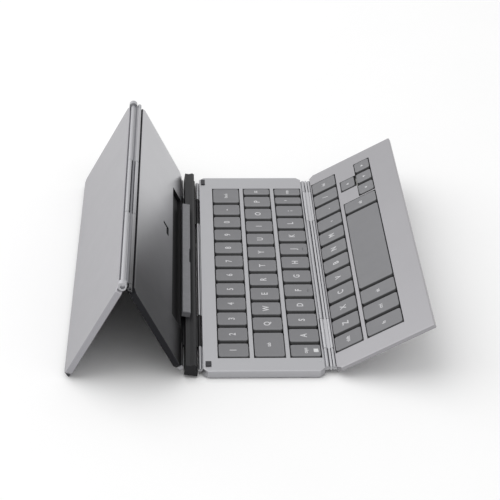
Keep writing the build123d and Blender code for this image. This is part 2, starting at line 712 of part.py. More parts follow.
# ---------------------------------------------------------------- stand panel
stand_span = (-stand_pitch + ridge_edge, -stand_edge)
rim_depth = pocket_low - stand_edge - leaf_cover
lower_leaf = hinge_leaf((0, 0), stand_barrel, stand_pin, spine_panels, -stand_edge, -1, rim_depth)
ridge_pin_here = (-stand_pitch, 0)
upper_leaf = hinge_leaf(ridge_pin_here, ridge_barrel, ridge_pin, ridge_panels, stand_span[0], 1, leaf_depth)
pocket_x = (-pocket_high, -pocket_low)
pocket_y = (-pocket_length / 2, pocket_length / 2)
pocket = block(pocket_x, pocket_y, (half_stand - pocket_depth, stand_thickness))
catch_x = (-catch_place[0] - catch_width / 2, -catch_place[0] + catch_width / 2)
catch_z = (half_stand - catch_depth, stand_thickness)
catch = block(catch_x, (catch_place[1] - catch_stem, catch_place[1]), catch_z)
foot_y = (catch_place[1] - catch_width, catch_place[1])
catch += block((catch_x[1] - catch_foot, catch_x[1]), foot_y, catch_z)
stand_spots = screw_spots((-stand_screw_start, stand_screw_inset - stand_pitch))
stand_screw_top = half_stand - stand_skin - screw_tip_gap
stand_cuts = [pocket, catch, *screw_holes(stand_spots, half_stand, stand_screw_top), lower_leaf, upper_leaf]


def stand_half(shell, z_span):
    """A half of the stand panel, solid round the pocket, with its bosses and cuts."""
    round_x = (pocket_x[0] - pocket_margin, -stand_edge - shell_wall)
    round_y = (pocket_y[0] - pocket_margin, pocket_y[1] + pocket_margin)
    return (shell + block(round_x, round_y, z_span)) + bosses(stand_spots, z_span) - stand_cuts


inner_half = half_stand - stand_skin
whole_half = half_shell(stand_span, half_stand, stand_skin)
add("stand_front_shell", "stand_panel", stand_half(whole_half, (0, inner_half)))
add("stand_back_shell", "stand_panel", stand_half(flipped(whole_half), (-inner_half, 0)))
add("stand_lower_leaf", "stand_panel", lower_leaf)
add("stand_upper_leaf", "stand_panel", upper_leaf)
liner_z = (half_stand - pocket_depth, half_stand)
liner = block(pocket_x, pocket_y, liner_z)
liner_x = (pocket_x[0] + liner_wall, pocket_x[1] - liner_wall)
liner_y = (pocket_y[0] + liner_wall, pocket_y[1] - liner_wall)
liner -= block(liner_x, liner_y, (liner_z[0] + liner_wall, stand_thickness))
add("stand_pocket_liner", "stand_panel", liner)
add("stand_screws", "stand_panel", screws(stand_spots, half_stand, stand_screw_top))
stand_magnet_x = front_magnet_x - main_link_pin[0] + main_spine_pin[0]
add("stand_magnets", "stand_panel", magnets(stand_magnet_x, -inner_half))

# ---------------------------------------------------------------- ridge link
ridge_middle_x = -ridge_pitch / 2
ridge_bar_y = (knuckle_gap - ear_edge, ear_edge - knuckle_gap)
ridge = block((ridge_middle_x - ridge_bar / 2, ridge_middle_x + ridge_bar / 2), ridge_bar_y,
              (-ridge_barrel, ridge_barrel))
for span in ridge_links:
    for pin_x in (0, -ridge_pitch):
        ridge += rod(ridge_barrel, span, (pin_x, 0))
        ridge += block(sorted((pin_x, ridge_middle_x)), span, (-ridge_web / 2, ridge_web / 2))
for pin_x in (0, -ridge_pitch):
    ridge -= rod(ridge_pin + pin_clearance, (-half_length, half_length), (pin_x, 0))
add("ridge_link", "ridge_link", ridge)
ridge_pins_end = half_length - ear_recess_depth
ridge_rods = [rod(ridge_pin, (-ridge_pins_end, ridge_pins_end), (pin_x, 0)) for pin_x in (0, -ridge_pitch)]
add("ridge_pins", "ridge_link", Compound(children=ridge_rods))

# ---------------------------------------------------------------- cover panel
cover_span = (-cover_reach + foot_strip_width, -ridge_edge)
cover_leaf = hinge_leaf((0, 0), ridge_barrel, ridge_pin, ridge_panels, -ridge_edge, -1, leaf_depth)
ears = [rod(ridge_ear, span) for span in (ridge_panels[0], ridge_panels[2])]
ear_bores = [rod(ridge_pin + pin_clearance, span) for span in (ridge_panels[0], ridge_panels[2])]
ear_ends = ((-half_length, -ridge_pins_end), (ridge_pins_end, half_length))
ear_recesses = [rod(ear_recess_radius, span) for span in ear_ends]
cover_leaf = (cover_leaf + ears) - ear_bores - ear_recesses
add("cover_leaf", "cover_panel", cover_leaf)
add("cover_outer_shell", "cover_panel", half_shell(cover_span, half_stand, stand_skin) - cover_leaf)
add("cover_inner_shell", "cover_panel", flipped(half_shell(cover_span, half_stand, stand_skin)) - cover_leaf)
strip_outline = [
    (-cover_reach, -half_stand),
    (-cover_reach, foot_strip_toe - half_stand),
    (-cover_reach + foot_strip_width, half_stand - edge_round),
    (-cover_reach + foot_strip_width, -half_stand),
]
strip_end = half_length - corner_cut
add("cover_foot_strip", "cover_panel", prism(strip_outline, (-strip_end, strip_end)))

# ---------------------------------------------------------------- centre the object and write it
boxes = [shape.bounding_box() for shape in nodes.values()]
x_low = min(box.min.X for box in boxes)
x_high = max(box.max.X for box in boxes)
x_shift = -(x_low + x_high) / 2
os.makedirs("parts", exist_ok=True)
for name, shape in nodes.items():
    export_step(Pos(x_shift, 0, 0) * shape, f"parts/{name}.step")

z_low = min(box.min.Z for box in boxes)
z_high = max(box.max.Z for box in boxes)
print(f"{len(nodes)} nodes, {x_high - x_low:.2f} wide, {z_high - z_low:.2f} high, lowest at {z_low:.4f}")
print(f"cover leans {cover_angle:.3f} degrees, shift {x_shift:.4f}")
for label, pin in (("main_spine", main_spine_pin), ("spine_stand", spine_stand_pin),
                   ("stand_ridge", stand_ridge_pin), ("ridge_cover", ridge_cover_pin),
                   ("main_link", main_link_pin), ("link_front", link_front_pin)):
    print(f"pin {label}: X {pin[0] + x_shift:.4f}, Z {pin[1]:.4f}")
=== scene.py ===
"""Folding keyboard: finishes, key caps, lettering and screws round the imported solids.

Metres, in the frame of the solids. Sizes of small pieces are written in millimetres and
scaled by MM where they meet the scene.
"""
import json
from math import atan2, cos, pi, radians, sin

import bmesh
import bpy
from mathutils import Matrix, Vector
from mathutils.geometry import tessellate_polygon

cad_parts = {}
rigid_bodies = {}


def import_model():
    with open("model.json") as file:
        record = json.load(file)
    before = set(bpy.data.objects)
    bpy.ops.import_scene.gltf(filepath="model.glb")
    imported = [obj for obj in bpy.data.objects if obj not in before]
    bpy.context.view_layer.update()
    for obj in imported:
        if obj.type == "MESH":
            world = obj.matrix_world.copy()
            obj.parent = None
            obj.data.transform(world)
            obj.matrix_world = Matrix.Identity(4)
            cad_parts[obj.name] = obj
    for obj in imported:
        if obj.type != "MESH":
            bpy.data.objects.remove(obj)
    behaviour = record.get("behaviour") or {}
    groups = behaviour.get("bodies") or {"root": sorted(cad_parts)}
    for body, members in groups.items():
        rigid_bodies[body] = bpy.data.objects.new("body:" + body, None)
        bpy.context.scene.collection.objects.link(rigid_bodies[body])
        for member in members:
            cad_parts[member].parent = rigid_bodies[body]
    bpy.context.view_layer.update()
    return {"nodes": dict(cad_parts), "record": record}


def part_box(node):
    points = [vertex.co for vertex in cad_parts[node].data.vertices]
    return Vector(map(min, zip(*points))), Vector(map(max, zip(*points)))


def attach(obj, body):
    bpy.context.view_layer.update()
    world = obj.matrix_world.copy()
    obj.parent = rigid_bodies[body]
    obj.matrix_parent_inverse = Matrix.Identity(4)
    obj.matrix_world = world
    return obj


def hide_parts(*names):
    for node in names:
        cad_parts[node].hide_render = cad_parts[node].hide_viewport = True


MM = 0.001

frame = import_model()
record = frame["record"]
joints = {joint["name"]: joint for joint in record["behaviour"]["joints"]}
body_of_node = {member: body for body, members in record["behaviour"]["bodies"].items() for member in members}


# ---------------------------------------------------------------- shader values and finishes
def tone(red, green=None, blue=None):
    """A colour as the shaders want it, from screen values of 0 to 255."""
    green = red if green is None else green
    blue = red if blue is None else blue
    linear = []
    for level in (red, green, blue):
        level /= 255
        linear.append(level / 12.92 if level <= 0.04045 else ((level + 0.055) / 1.055) ** 2.4)
    return (*linear, 1.0)


def shaded(colour, share):
    """The same colour, lighter or darker by a share."""
    return (*[min(1.0, level * share) for level in colour[:3]], 1.0)


class Value:
    """A number that varies over a surface; arithmetic on it adds the nodes."""

    def __init__(self, shading, socket):
        self.shading = shading
        self.socket = socket

    def worked(self, operation, *numbers):
        return self.shading.node("ShaderNodeMath", {"operation": operation}, dict(enumerate(numbers)))

    def __add__(self, other):
        return self.worked("ADD", self, other)

    __radd__ = __add__

    def __sub__(self, other):
        return self.worked("SUBTRACT", self, other)

    def __rsub__(self, other):
        return self.worked("SUBTRACT", other, self)

    def __mul__(self, other):
        return self.worked("MULTIPLY", self, other)

    __rmul__ = __mul__

    def __truediv__(self, other):
        return self.worked("DIVIDE", self, other)

    def __rtruediv__(self, other):
        return self.worked("DIVIDE", other, self)

    def over(self, threshold):
        """1 where it is more than the threshold, and 0 elsewhere."""
        return self.worked("GREATER_THAN", self, threshold)

    def away(self):
        """Its distance from zero, either way."""
        return self.worked("ABSOLUTE", self)

    def at_most(self, limit):
        return self.worked("MINIMUM", self, limit)

    def at_least(self, limit):
        return self.worked("MAXIMUM", self, limit)


class Shading:
    """The nodes of a material or of the world."""

    def __init__(self, owner):
        owner.use_nodes = True
        self.tree = owner.node_tree
        self.tree.nodes.clear()

    def node(self, kind, settings=None, inputs=None, output=0):
        """Any node, from its settings and the numbers or values of its sockets."""
        made = self.tree.nodes.new(kind)
        for name, value in (settings or {}).items():
            setattr(made, name, value)
        for name, value in (inputs or {}).items():
            if isinstance(value, Value):
                self.tree.links.new(value.socket, made.inputs[name])
            else:
                made.inputs[name].default_value = value
        return Value(self, made.outputs[output]) if made.outputs else None


class Finish(Shading):
    """One material, built from expressions on values."""

    def __init__(self, name):
        self.material = bpy.data.materials.new(name)
        super().__init__(self.material)
        self.place = self.node("ShaderNodeTexCoord", output="Object")

    def noise(self, scale, detail=2.0, roughness=0.5, stretch=None):
        """Cloudy variation; scale is in patches to the metre."""
        place = self.place
        if stretch:
            place = self.node("ShaderNodeMapping", {}, {"Vector": place, "Scale": stretch})
        sockets = {"Vector": place, "Scale": scale, "Detail": detail, "Roughness": roughness}
        return self.node("ShaderNodeTexNoise", {}, sockets)

    def along(self, axis, origin):
        """Distance along a direction from a point, in millimetres."""
        sockets = {0: self.place, 1: axis}
        reach = self.node("ShaderNodeVectorMath", {"operation": "DOT_PRODUCT"}, sockets, "Value")
        return (reach - axis.dot(origin)) / MM

    def painted(self, name):
        """A number that a mesh carries at its corners."""
        return self.node("ShaderNodeAttribute", {"attribute_name": name}, {}, "Fac")

    def mixed(self, first, second, share):
        """One colour passing into another; 6, 7 and 2 are the colour sockets of the node."""
        return self.node("ShaderNodeMix", {"data_type": "RGBA"}, {0: share, 6: first, 7: second}, 2)

    def varied(self, colour, share, pattern):
        """A colour that a pattern takes a share darker or lighter."""
        return self.mixed(shaded(colour, 1 - share), shaded(colour, 1 + share), pattern)

    def swung(self, middle, *swings):
        """A number about its middle, moved by pairs of a pattern and its reach."""
        for pattern, reach in swings:
            middle = middle + (pattern - 0.5) * reach
        return middle

    def bump(self, height, strength, depth):
        """Fine relief, its depth in metres."""
        return self.node("ShaderNodeBump", {}, {"Strength": strength, "Distance": depth, "Height": height})

    def surface(self, **sockets):
        """The shader and the output; a socket's words are joined by underscores."""
        named = {name.replace("_", " ").title().replace("Ior", "IOR"): value
                 for name, value in sockets.items()}
        shader = self.node("ShaderNodeBsdfPrincipled", {}, named)
        self.node("ShaderNodeOutputMaterial", {}, {"Surface": shader})
        return self.material


# Patches of noise to the metre, from clouds over a whole panel to the finest grain.
panel_clouds = 26
key_clouds = 60
handling_marks = 95
drawn_grain = 900
moulded_grain = 2400
blasted_grain = 2600
pore_grain = 3600

# Depth of the relief, in metres.
drawn_relief = 0.000006
frost_relief = 0.00001
blasted_relief = 0.000012
key_relief = 0.000015
moulded_relief = 0.00002
foil_relief = 0.00003


def metal_finish(name, colour, roughness, grain_scale=blasted_grain, grain_depth=blasted_relief,
                 stretch=None, painted_shade=None, coat=None, coat_colour=None):
    """Satin metal: blasted or brushed grain, and faint handling marks in its gloss.

    A painted shade darkens it where the shading function passed in gives 1, and it is coated where coat gives
    1.
    """
    finish = Finish(name)
    drift = finish.noise(panel_clouds, detail=3)
    marks = finish.noise(handling_marks, detail=4, roughness=0.6)
    grain = finish.noise(grain_scale, roughness=0.6, stretch=stretch)
    colour_now = finish.varied(colour, 0.04, drift)
    # Painted shade: the dark reflection and shadow low on the stand, put into the colour of the metal.
    if painted_shade:
        colour_now = finish.mixed(colour_now, shaded(colour, deep_shade), painted_shade(finish))
    gloss = finish.swung(roughness, (grain, 0.04), (marks, 0.05))
    bare = 1.0
    if coat:
        coated = coat(finish)
        colour_now = finish.mixed(colour_now, coat_colour, coated)
        gloss = gloss + coated * 0.2
        bare = 1 - coated
    return finish.surface(base_color=colour_now, metallic=bare, roughness=gloss,
                          specular_ior_level=0.1, normal=finish.bump(grain, 0.04, grain_depth))


def painted_finish(name, colour, roughness, specular=0.5):
    """Moulded or painted: spark-eroded texture, soft tone drift, slight polish from handling."""
    finish = Finish(name)
    drift = finish.noise(scale=40, detail=3)
    grain = finish.noise(moulded_grain, roughness=0.55)
    polish = finish.noise(scale=150, detail=3, roughness=0.6)
    colour_now = finish.varied(colour, 0.08, drift * 0.6 + grain * 0.4)
    gloss = finish.swung(roughness, (grain, 0.12)) - polish * 0.06
    return finish.surface(base_color=colour_now, roughness=gloss, specular_ior_level=specular,
                          normal=finish.bump(grain, 0.35, moulded_relief))


def key_finish(name, colour):
    """Key plastic, with painted shade down the sides of the caps, where the gaps between the keys lie in
    shadow.
    """
    finish = Finish(name)
    drift = finish.noise(key_clouds, detail=3)
    grain = finish.noise(moulded_grain, roughness=0.55)
    polish = finish.noise(scale=120, detail=3, roughness=0.6)
    top = finish.varied(colour, 0.08, drift * 0.6 + grain * 0.4)
    # Painted shade: the cap's colour darkens down its sides by the skirt value that each corner carries.
    colour_now = finish.mixed(top, shaded(colour, skirt_shade), finish.painted("skirt"))
    gloss = finish.swung(0.42, (grain, 0.12), (polish, -0.16))
    return finish.surface(base_color=colour_now, roughness=gloss,
                          normal=finish.bump(grain, 0.3, key_relief))


def rubber_finish(name, colour, roughness):
    """Soft rubber: matt, with a fine dusty bloom."""
    finish = Finish(name)
    bloom = finish.noise(scale=320, detail=4, roughness=0.65)
    pores = finish.noise(pore_grain, detail=1)
    dusty = (bloom - 0.45).at_least(0.0) * 0.9
    colour_now = finish.mixed(colour, shaded(colour, 1.7), dusty)
    return finish.surface(base_color=colour_now, roughness=finish.swung(roughness, (pores, 0.1)),
                          specular_ior_level=0.3, normal=finish.bump(pores, 0.3, moulded_relief))


def board_finish(name, colour):
    """Laminate with the weave of its glass cloth under the lacquer."""
    finish = Finish(name)
    threads = {"Vector": finish.place, "Scale": 900.0, "Color1": shaded(colour, 0.85),
               "Color2": shaded(colour, 1.15), "Mortar": shaded(colour, 0.6), "Mortar Size": 0.06}
    weave = finish.node("ShaderNodeTexBrick", {"offset": 0.0}, threads)
    drift = finish.noise(key_clouds)
    colour_now = finish.mixed(colour, weave, 0.5)
    return finish.surface(base_color=colour_now, roughness=0.28 + drift * 0.12, coat_weight=0.3)


def clear_finish(name, colour):
    """Frosted light window."""
    finish = Finish(name)
    frost = finish.noise(scale=1800)
    colour_now = finish.mixed(shaded(colour, 0.94), colour, frost)
    return finish.surface(base_color=colour_now, roughness=0.18 + frost * 0.14,
                          transmission_weight=0.25, normal=finish.bump(frost, 0.2, frost_relief))


def ink_finish(name, colour):
    """Printed lettering, slightly uneven where the ink is thin."""
    finish = Finish(name)
    thin = finish.noise(scale=2200, detail=3, roughness=0.6)
    colour_now = finish.mixed(shaded(colour, 0.88), colour, thin)
    return finish.surface(base_color=colour_now, roughness=0.5 + thin * 0.12)


# ---------------------------------------------------------------- panels and their own frames
class Panel:
    """A panel's own frame: X across the hinges, Y along the key rows, Z out of its face."""

    def __init__(self, origin, lift):
        self.origin = origin
        self.matrix = Matrix.Translation(origin) @ Matrix.Rotation(lift, 4, "Y")
        self.inverse = self.matrix.inverted()
        self.out = self.matrix.to_3x3() @ Vector((0, 0, 1))

    def own(self, point):
        """A point of the scene in this panel's millimetres."""
        return (self.inverse @ point) / MM

    def put(self, mesh_work):
        """Move a mesh from this panel's millimetres into the scene."""
        mesh_work.transform(self.matrix @ Matrix.Scale(MM, 4))


def joint_place(name):
    return Vector(joints[name]["pos_m"])


deck_low, deck_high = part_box("main_deck_frame")
main_panel = Panel(Vector((deck_low.x, 0, deck_low.z)), 0)
press = Vector(joints["row_four_keys_press"]["axis"])
front_lift = atan2(-press.x, -press.z)
link_rise = joint_place("front_panel_hinge").z - deck_low.z
front_panel = Panel(joint_place("front_panel_hinge") + press * link_rise, front_lift)
stand_line = joint_place("ridge_link_hinge") - joint_place("stand_hinge")
stand_panel = Panel(joint_place("stand_hinge"), atan2(stand_line.z, -stand_line.x))
panel_of_body = {"main_panel": main_panel, "front_panel": front_panel, "stand_panel": stand_panel}


# ---------------------------------------------------------------- the finishes of this object
silver = tone(170, 170, 173)
# The cover and front panels are the same aluminium as the others, in darker copies of its colour: painted
# shade for how the light falls on them.
cover_silver_shaded = tone(157, 156, 160)
front_silver_shaded = tone(155, 154, 157)
dark_coat = tone(30, 30, 33)
ridge_coat = tone(122, 122, 126)
deep_shade = 0.22           # what is left of the metal's brightness where it fades
skirt_shade = 0.12          # and of the key plastic's down the sides of a cap
# The painted shade on the stand panel: the dark reflection and shadow low on its face, painted into its
# colour, darkest at its lower near corner.
painted_shade_direction = Vector((0.0, -0.83, -0.56))
painted_shade_start = Vector((0.0, 24.0, 32.0)) * MM
painted_shade_reach = 82.0
stand_face = 1.55           # just under the stand panel's front face, from its mid-plane
ridge_half_bar = 0.5        # half the dark bar between the ridge barrels
ridge_across = (joint_place("cover_hinge") - joint_place("ridge_link_hinge")).normalized()
ridge_middle = (joint_place("cover_hinge") + joint_place("ridge_link_hinge")) / 2
round_the_pin = (1, 14, 14)
along_the_wire = (14, 1, 14)


def painted_shade_towards_near_corner(finish):
    """The painted shade on the stand panel: 1 at its lower near corner, 0 at its upper far one."""
    return (finish.along(painted_shade_direction, painted_shade_start) / painted_shade_reach).at_least(0.0).at_most(1.0)


def under_stand_face(finish):
    """1 on the stand panel's edges and in its recesses."""
    return 1 - finish.along(stand_panel.out, stand_panel.origin).over(stand_face)


def painted_shade_on_ridge_by_stand(finish):
    """The stand panel's painted shade, on the half of the ridge beside it."""
    return painted_shade_towards_near_corner(finish) * (1 - finish.along(ridge_across, ridge_middle).over(0))


def on_ridge_bar(finish):
    """1 on the bar between the barrels of the ridge."""
    return 1 - finish.along(ridge_across, ridge_middle).away().over(ridge_half_bar)


finishes = {
    "panel_metal": metal_finish("satin_panel_metal", silver, 0.34),
    "hinge_leaf": metal_finish("hinge_leaf_steel", tone(172, 172, 175), 0.34),
    "hinge_pin": metal_finish("ground_pin_steel", tone(170, 170, 173), 0.3,
                              drawn_grain, drawn_relief, round_the_pin),
    "front_link": metal_finish("front_link_metal", tone(184, 184, 187), 0.34),
    # the half of the ridge beside the stand takes the stand panel's painted shade
    "ridge_link": metal_finish("ridge_link_metal", silver, 0.42, painted_shade=painted_shade_on_ridge_by_stand,
                               coat=on_ridge_bar, coat_colour=ridge_coat),
    "spine": painted_finish("dark_spine_plastic", tone(28, 28, 30), 0.5, specular=0.2),
    "rest_bar": rubber_finish("phone_rest_rubber", tone(117, 117, 120), 0.55),
    "pocket_liner": painted_finish("black_pocket_plastic", tone(14, 14, 16), 0.6, specular=0.3),
    "key": key_finish("key_plastic", tone(113, 113, 116)),
    "key_window": clear_finish("caps_light_window", tone(244, 245, 246)),
    "light": clear_finish("status_light_window", tone(206, 210, 212)),
    "screw": metal_finish("blackened_screw_steel", tone(86, 86, 90), 0.36),
    "key_wire": metal_finish("drawn_key_wire", tone(172, 172, 175), 0.28,
                             drawn_grain, drawn_relief, along_the_wire),
    "circuit_board": board_finish("green_board_laminate", tone(30, 92, 60)),
    "dome_sheet": rubber_finish("pale_dome_rubber", tone(196, 196, 192), 0.5),
    "key_guide": painted_finish("black_key_guide", tone(34, 34, 36), 0.6),
    "socket": metal_finish("tinned_socket_steel", tone(184, 184, 186), 0.3),
    "battery": metal_finish("battery_foil", tone(178, 180, 184), 0.34, 500, foil_relief),
    "magnet": metal_finish("nickel_plate", tone(190, 189, 186), 0.16),
    "ribbon": painted_finish("amber_ribbon_film", tone(176, 124, 52), 0.34),
    "foot": rubber_finish("foot_rubber", tone(58, 58, 61), 0.7),
}
ink = ink_finish("key_lettering_ink", tone(208, 208, 210))
# The stand panel carries the painted shade, and the dark coat on its edges and in its recesses.
stand_metal = metal_finish("stand_panel_metal", silver, 0.3, painted_shade=painted_shade_towards_near_corner,
                           coat=under_stand_face, coat_colour=dark_coat)
# The ridge leaves take the same painted shade on the stand's side.
ridge_leaf_metal = metal_finish("ridge_leaf_metal", silver, 0.42, painted_shade=painted_shade_on_ridge_by_stand)
# The cover and front panels take their darker, shaded copies of the silver.
cover_metal = metal_finish("cover_panel_metal_shaded", cover_silver_shaded, 0.34)
front_metal = metal_finish("front_panel_metal_shaded", front_silver_shaded, 0.38)
finish_of_node = {"stand_front_shell": stand_metal, "stand_back_shell": stand_metal,
                  "stand_upper_leaf": ridge_leaf_metal, "cover_leaf": ridge_leaf_metal,
                  "cover_outer_shell": cover_metal, "cover_inner_shell": cover_metal,
                  "front_deck_frame": front_metal, "front_bottom_cover": front_metal}

for part in record["subparts"]:
    node = frame["nodes"][part["node"]]
    node.data.materials.clear()
    node.data.materials.append(finish_of_node.get(part["node"], finishes[part["material_slot"]]))


# ---------------------------------------------------------------- meshes used again and again
same_corner = 1e-6          # corners this close are one, in metres
same_letter_corner = 1e-4   # the same for lettering, in millimetres


def islands(node_name, panel):
    """The separate solids of a node as boxes in a panel's millimetres, in order along Y, then X."""
    work = bmesh.new()
    work.from_mesh(frame["nodes"][node_name].data)
    bmesh.ops.remove_doubles(work, verts=work.verts, dist=same_corner)
    waiting = set(work.verts)
    found = []
    while waiting:
        edge_of_search = [waiting.pop()]
        points = []
        while edge_of_search:
            vertex = edge_of_search.pop()
            points.append(panel.own(vertex.co))
            for edge in vertex.link_edges:
                other = edge.other_vert(vertex)
                if other in waiting:
                    waiting.remove(other)
                    edge_of_search.append(other)
        low = Vector([min(point[axis] for point in points) for axis in range(3)])
        high = Vector([max(point[axis] for point in points) for axis in range(3)])
        found.append((low, high))
    work.free()
    return sorted(found, key=lambda box: (round(box[0].y, 1), box[0].x))


def finished_piece(name, work, material, body, sharp=35):
    """A mesh piece in the scene, smooth but for its sharp edges, riding on a body."""
    bmesh.ops.recalc_face_normals(work, faces=work.faces)
    mesh = bpy.data.meshes.new(name)
    work.to_mesh(mesh)
    work.free()
    mesh.materials.append(material)
    mesh.shade_smooth()
    mesh.set_sharp_from_angle(angle=radians(sharp))
    piece = bpy.data.objects.new(name, mesh)
    bpy.context.scene.collection.objects.link(piece)
    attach(piece, body)
    return piece


def ring(work, points, z):
    return [work.verts.new((x, y, z)) for x, y in points]


def skin(work, first, second):
    """Faces between two rings of as many points."""
    count = len(first)
    for here in range(count):
        after = (here + 1) % count
        work.faces.new((first[here], first[after], second[after], second[here]))


# ---------------------------------------------------------------- key caps
cap_wall = 0.9              # skirt of a cap
cap_skin = 0.9              # its top
cap_corner = 1.5
corner_steps = 5
corner_shrink = 0.2         # a corner's radius loses this share of the inset
corner_least = 0.25
dish = 0.12                 # hollow of the top
rim_inset = 0.9             # the rim stands in from the foot of the skirt, along the row
across_share = 0.4          # the same across the row, as a share of that
# Inset from the outline, and drop from the rim, from the skirt up and over into the dish.
cap_levels = ((0.1, 1.2), (0.4, 0.75), (0.62, 0.38), (0.78, 0.10), (rim_inset, 0.0),
              (1.3, 0.02), (2.0, 0.6 * dish), (2.8, dish))
flat_least = 0.4            # half the flat that the dish leaves in a narrow cap, at least
# Painted shade down a cap's sides: it starts at skirt_start below the rim and is full at skirt_full.
skirt_start = 0.04          # the sides turn dark from this far below the rim
skirt_full = 0.25


def outline(low, high, inset, radius):
    """A rectangle with rounded corners, as points in order, inset more along Y than along X."""
    radius = max(radius - corner_shrink * inset, corner_least)
    in_x = across_share * inset + radius
    in_y = inset + radius
    centres = ((high.x - in_x, high.y - in_y, 0), (low.x + in_x, high.y - in_y, 1),
               (low.x + in_x, low.y + in_y, 2), (high.x - in_x, low.y + in_y, 3))
    points = []
    for x, y, quarter in centres:
        for step in range(corner_steps + 1):
            angle = (quarter + step / corner_steps) * pi / 2
            points.append((x + radius * cos(angle), y + radius * sin(angle)))
    return points


def add_key_cap(work, low, high):
    """A dished cap with a rolled rim, hollow below."""
    dark = work.verts.layers.float["skirt"]
    half = min(high.x - low.x, high.y - low.y) / 2
    squeeze = min(1.0, (half - cap_corner - flat_least) / cap_levels[-1][0])
    rings = [ring(work, outline(low, high, 0, cap_corner), low.z)]
    for inset, drop in cap_levels:
        if inset > rim_inset:
            inset = rim_inset + (inset - rim_inset) * squeeze
        rings.append(ring(work, outline(low, high, inset, cap_corner), high.z - drop))
    for lower, upper in zip(rings[:-1], rings[1:]):
        skin(work, lower, upper)
    # Painted shade on the sides: each corner carries its share of the shade, none at the rim and full at the
    # foot.
    for level, (inset, drop) in zip(rings[1:], cap_levels):
        for vertex in level if inset < rim_inset else ():
            vertex[dark] = min(1.0, max(0.0, (drop - skirt_start) / (skirt_full - skirt_start)))
    for vertex in rings[0]:
        vertex[dark] = 1.0
    work.faces.new(rings[-1])
    inside = [ring(work, outline(low, high, cap_wall, cap_corner), z) for z in (low.z, high.z - cap_skin)]
    skin(work, inside[0], rings[0])
    skin(work, inside[1], inside[0])
    work.faces.new(inside[1])


home_keys = ("F", "J")
home_bar_start = 3.2        # from the near edge of the cap
home_bar_width = 0.5
home_bar_half = 1.4         # half its length
home_bar_sink = 0.1         # into the dish
home_bar_rise = 0.06        # above the rim
home_bar_bevel = (0.1, 0.08)    # in from its sides, and down from its top


def add_home_bar(work, high, middle_y):
    """The small bar that a finger feels on a home key."""
    bar_low = Vector((high.x - home_bar_start, middle_y - home_bar_half, high.z - dish - home_bar_sink))
    bar_high = Vector((bar_low.x + home_bar_width, middle_y + home_bar_half, high.z + home_bar_rise))
    inset, drop = home_bar_bevel
    levels = ((0, bar_low.z), (0, bar_high.z - drop), (inset, bar_high.z))
    foot, edge, top = [ring(work, outline(bar_low, bar_high, inward, corner_least), z)
                       for inward, z in levels]
    skin(work, foot, edge)
    skin(work, edge, top)
    work.faces.new(top)
    work.faces.new(foot)


# ---------------------------------------------------------------- lettering
key_rows = {
    "row_one_keys": list("1234567890") + ["-"],
    "backspace_key": ["back"],
    "tab_key": ["tab"],
    "row_two_keys": list("QWERTYUIOP") + ["="],
    "caps_key": ["caps"],
    "row_three_keys": list("ASDFGHJKL;") + ["'", "enter"],
    "row_four_keys": ["shift"] + list("ZXCVBNM,./") + ["del"],
    "row_five_left_keys": ["fn", "ctrl", "alt"],
    "space_bar": [""],
    "row_five_right_key": ["alt"],
    "arrow_left_key": ["left"],
    "arrow_down_key": ["down"],
    "arrow_right_key": ["right"],
    "arrow_up_key": ["up"],
}
arrow_turns = {"up": 0, "left": 90, "down": 180, "right": 270}
arrow_corners = ((0, 1.1), (-1.0, -0.6), (1.0, -0.6))
letter_size = 4.8
word_size = 2.9
letter_weight = 0.02        # how far the strokes are thickened, as a share of the size
letter_steps = 3            # segments to each curve of a letter
ink_height = 0.02           # above the middle of the dish
ink_depth = 0.06


def key_panel(node_name):
    """The panel that carries a key."""
    return panel_of_body[joints[node_name + "_press"]["parent"]]


def arrow(turn):
    """A flat triangle that points along Y, turned."""
    work = bmesh.new()
    points = [(x * cos(turn) - y * sin(turn), x * sin(turn) + y * cos(turn)) for x, y in arrow_corners]
    work.faces.new(ring(work, points, 0))
    return work


def lettering(words):
    """Flat lettering as a mesh in millimetres, its middle at the origin, read along X."""
    if words in arrow_turns:
        return arrow(radians(arrow_turns[words]))
    curve = bpy.data.curves.new("lettering", "FONT")
    curve.body = words
    curve.size = letter_size if len(words) == 1 else word_size
    curve.align_x = "CENTER"
    curve.align_y = "CENTER"
    curve.offset = letter_weight * curve.size
    curve.resolution_u = letter_steps
    writer = bpy.data.objects.new("lettering", curve)
    bpy.context.scene.collection.objects.link(writer)
    bpy.context.view_layer.update()
    flat = bpy.data.meshes.new_from_object(writer.evaluated_get(bpy.context.evaluated_depsgraph_get()))
    work = bmesh.new()
    work.from_mesh(flat)
    bpy.data.objects.remove(writer)
    bpy.data.curves.remove(curve)
    bpy.data.meshes.remove(flat)
    bmesh.ops.remove_doubles(work, verts=work.verts, dist=same_letter_corner)
    return work


def add_raised(work, flat, place, top):
    """Stand flat lettering on a key: read along Y, its top towards -X, with a little thickness."""
    made = bmesh.ops.extrude_face_region(flat, geom=flat.faces[:])
    raised = [item for item in made["geom"] if isinstance(item, bmesh.types.BMVert)]
    bmesh.ops.translate(flat, verts=raised, vec=(0, 0, ink_depth))
    turn = Matrix.Rotation(pi / 2, 4, "Z")
    flat.transform(Matrix.Translation((place[0], place[1], top - ink_depth)) @ turn)
    loose = bpy.data.meshes.new("loose")
    flat.to_mesh(loose)
    flat.free()
    work.from_mesh(loose)
    bpy.data.meshes.remove(loose)


